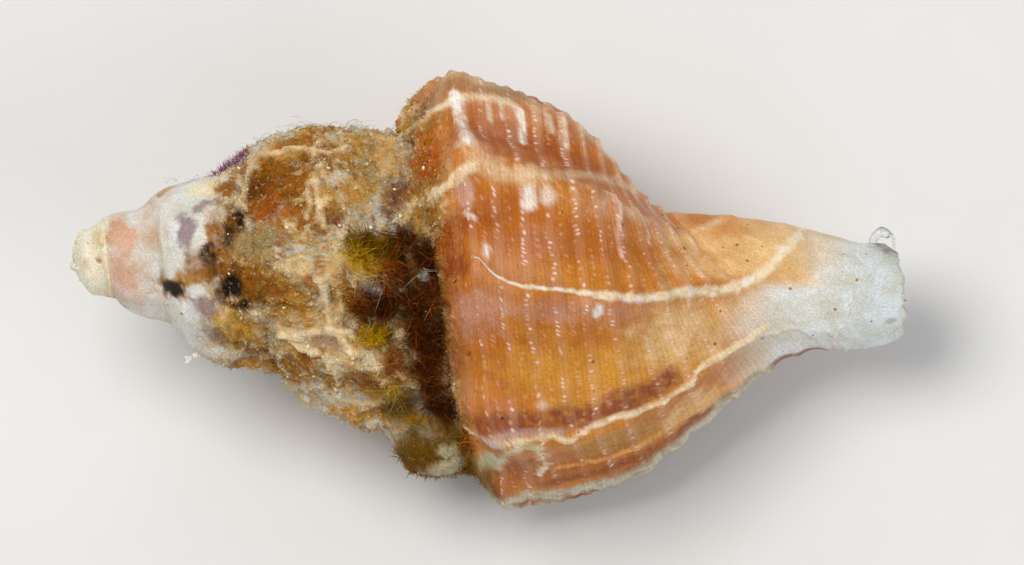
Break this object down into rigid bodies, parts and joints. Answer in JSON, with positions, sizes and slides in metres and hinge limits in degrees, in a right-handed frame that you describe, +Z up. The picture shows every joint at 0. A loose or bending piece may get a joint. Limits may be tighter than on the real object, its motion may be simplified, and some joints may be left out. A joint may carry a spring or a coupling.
{
  "type": "kurtzia shell",
  "caption": "Small spindle-shaped sea snail shell with strong axial ribs, a crusted spire, an open aperture and a drawn-out canal, lying aperture down.",
  "frame": {"origin": "on the surface the shell rests on, under the middle of its box", "axes": "+X from the apex towards the canal's end, +Z up as the shell rests with its aperture down, -Y on the outer lip's side"},
  "size_m": [0.008, 0.004, 0.0036],
  "materials": {
    "shell": "satin, orange-brown with pale crests, crusted and weedy on the spire, greyish and translucent on the canal"
  },
  "bodies": {
    "root": {"shell": "shell"}
  },
  "joints": []
}
